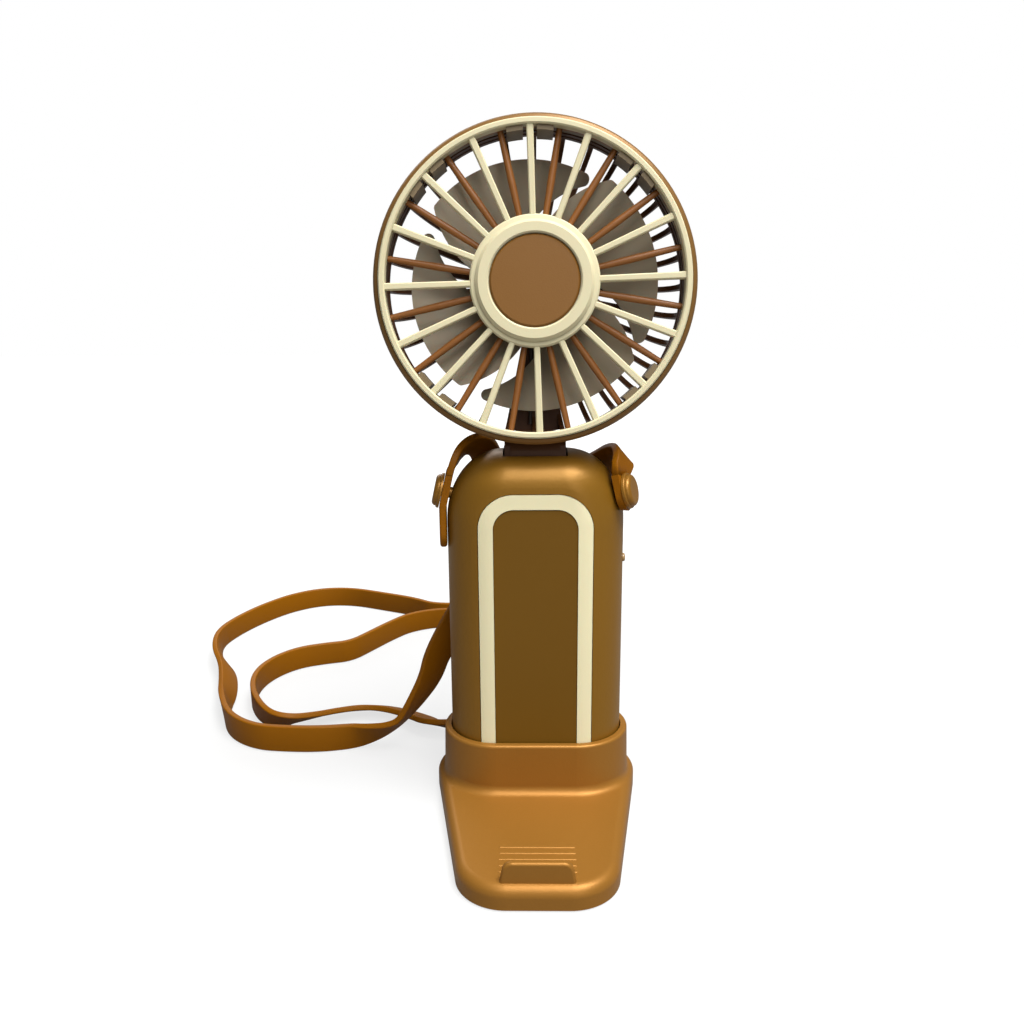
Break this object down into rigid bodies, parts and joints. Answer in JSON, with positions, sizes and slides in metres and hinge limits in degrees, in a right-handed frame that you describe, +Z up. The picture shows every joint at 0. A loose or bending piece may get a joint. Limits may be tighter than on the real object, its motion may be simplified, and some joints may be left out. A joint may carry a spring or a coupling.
{
  "type": "folding mini fan",
  "caption": "Battery hand fan with a round grilled head on a folding neck, a stadium-shaped handle, a drop-in stand with a phone ledge and a long neck strap.",
  "frame": {"origin": "on the table directly below the handle's axis, in the middle of the rear rubber pad", "axes": "+Z up along the handle, +X to the right seen from the front, +Y to the back; the fan blows towards -Y"},
  "size_m": [0.1789, 0.2269, 0.1912],
  "materials": {
    "tan_plastic": "satin",
    "panel_plastic": "matte",
    "dark_brown_plastic": "satin",
    "taupe_plastic": "satin",
    "cream_plastic": "satin",
    "smoke_plastic": "satin",
    "lens_plastic": "gloss",
    "black_plastic": "matte",
    "strap_vinyl": "satin",
    "pad_rubber": "matte",
    "wire_sleeve": "satin",
    "board_green": "satin",
    "cell_wrap": "satin",
    "steel": "brushed"
  },
  "bodies": {
    "stand": {"stand_shell": "tan_plastic", "stand_base_plate": "tan_plastic", "stand_screws": "steel", "rubber_pads": "pad_rubber"},
    "handle": {"handle_front_shell": "tan_plastic", "handle_rear_shell": "tan_plastic", "handle_end_cap": "tan_plastic", "front_trim": "cream_plastic", "front_panel": "panel_plastic", "case_screws": "steel", "battery_cell": "cell_wrap", "cell_tabs": "steel", "battery_leads": "wire_sleeve", "circuit_board": "board_green", "button_switch": "black_plastic", "usb_socket": "steel", "indicator_lens": "lens_plastic", "hinge_pin": "steel", "hinge_washers": "black_plastic", "left_strap_stud": "strap_vinyl", "right_strap_stud": "strap_vinyl", "left_strap_end": "strap_vinyl", "right_strap_end": "strap_vinyl", "strap_run": "strap_vinyl"},
    "power_button": {"power_button": "cream_plastic"},
    "head": {"head_shell": "tan_plastic", "rear_grille": "dark_brown_plastic", "front_grille": "cream_plastic", "spoke_grille": "tan_plastic", "ring_clips": "taupe_plastic", "centre_cap": "panel_plastic", "motor_can": "steel", "motor_end_bell": "black_plastic", "motor_screws": "steel", "motor_leads": "wire_sleeve"},
    "impeller": {"impeller": "smoke_plastic", "motor_shaft": "steel"}
  },
  "joints": [
    {"name": "handle_lift", "type": "slide", "parent": "stand", "child": "handle", "axis": [0, 0, 1], "range_m": [0, 0.03]},
    {"name": "head_fold", "type": "hinge", "parent": "handle", "child": "head", "pos_m": [0, 0.004, 0.101], "axis": [-1, 0, 0], "range_deg": [-6.75, 83.25]},
    {"name": "button_press", "type": "slide", "parent": "handle", "child": "power_button", "axis": [0, -1, 0], "range_m": [0, 0.0005], "stiffness_N_per_m": 3000},
    {"name": "impeller_spin", "type": "hinge", "parent": "head", "child": "impeller", "pos_m": [0, -0.0091, 0.14948], "axis": [0, -0.9931, 0.1175], "continuous": true}
  ]
}
